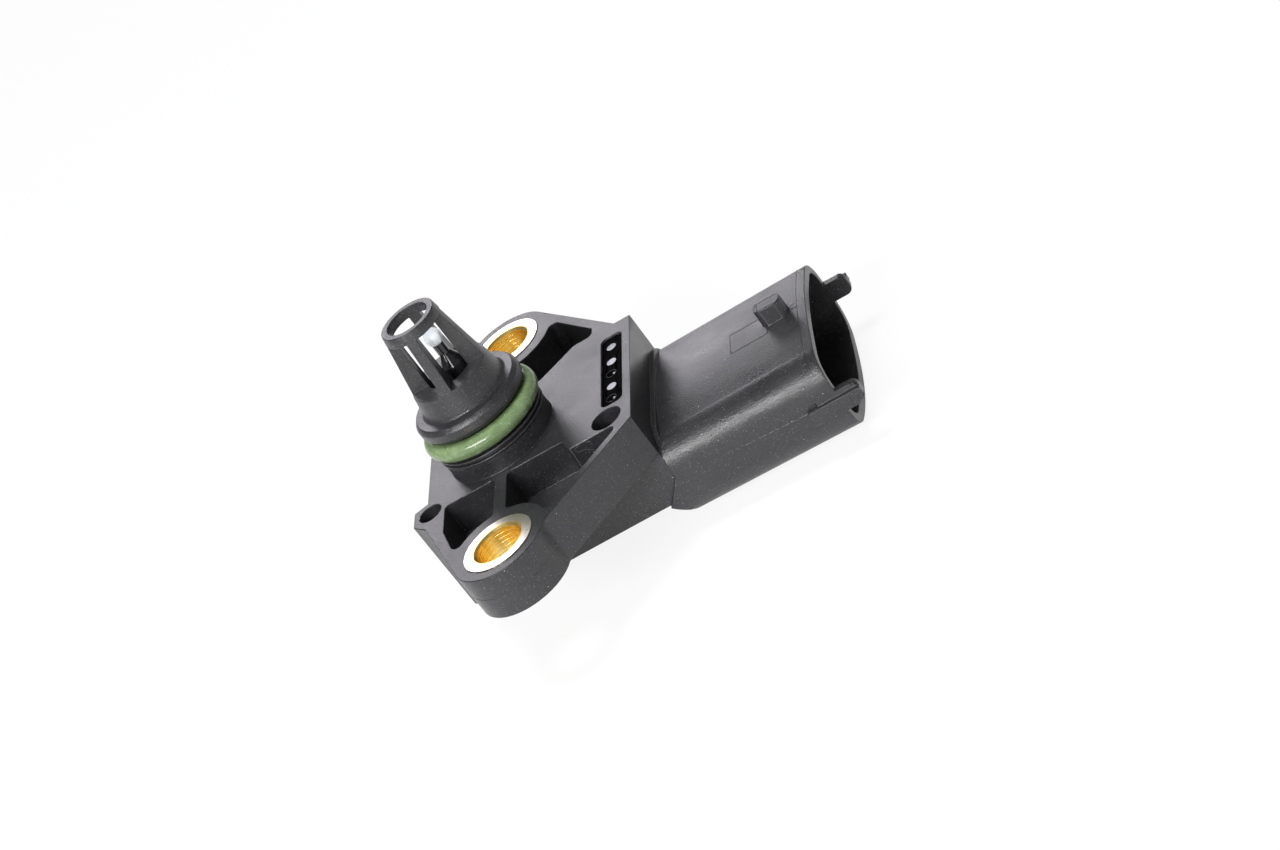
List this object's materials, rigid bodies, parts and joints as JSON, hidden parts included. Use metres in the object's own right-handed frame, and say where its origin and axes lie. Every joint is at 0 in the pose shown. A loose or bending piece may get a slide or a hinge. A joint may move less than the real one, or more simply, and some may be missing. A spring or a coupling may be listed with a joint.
{
  "type": "manifold absolute pressure sensor",
  "caption": "Flanged manifold pressure sensor with a caged air temperature probe on its sealed nozzle, brass screw bushes and a moulded plug socket.",
  "frame": {"origin": "on the nozzle axis in the face that seats on the manifold, midway between the screw holes", "axes": "+X towards the mouth of the plug socket, +Y along the line of the screw holes, +Z along the nozzle to its tip"},
  "size_m": [0.0594, 0.0612, 0.0407],
  "materials": {
    "housing_plastic": "fine moulded grain, glass filled",
    "port_plastic": "fine moulded grain, glass filled",
    "cover_plastic": "smooth moulded",
    "seal_rubber": "satin green",
    "bush_brass": "turned",
    "bead_glass": "glossy pale",
    "stem_resin": "glossy black",
    "tinned_wire": "bright",
    "glue": "cured, dark",
    "board_ceramic": "white ceramic",
    "pedestal_glass": "clear",
    "silicon": "polished",
    "frame_resin": "matte",
    "gel": "clear, soft",
    "chip_resin": "matte",
    "capacitor_ceramic": "tan ceramic",
    "bond_aluminium": "bright",
    "solder": "bright",
    "tinned_bronze": "tinned"
  },
  "bodies": {
    "root": {"housing": "housing_plastic", "pressure_port": "port_plastic", "o_ring": "seal_rubber", "upper_bush": "bush_brass", "lower_bush": "bush_brass", "sensing_bead": "bead_glass", "probe_stem": "stem_resin", "probe_lead_1": "tinned_wire", "probe_lead_2": "tinned_wire", "rear_cover": "cover_plastic", "cover_bond": "glue", "circuit_board": "board_ceramic", "board_bond": "glue", "glass_pedestal": "pedestal_glass", "pressure_chip": "silicon", "gel_frame": "frame_resin", "protective_gel": "gel", "signal_chip": "chip_resin", "capacitors": "capacitor_ceramic", "bond_wires": "bond_aluminium", "lead_solder": "solder", "terminal_1": "tinned_bronze", "terminal_2": "tinned_bronze", "terminal_3": "tinned_bronze", "terminal_4": "tinned_bronze"}
  },
  "joints": []
}
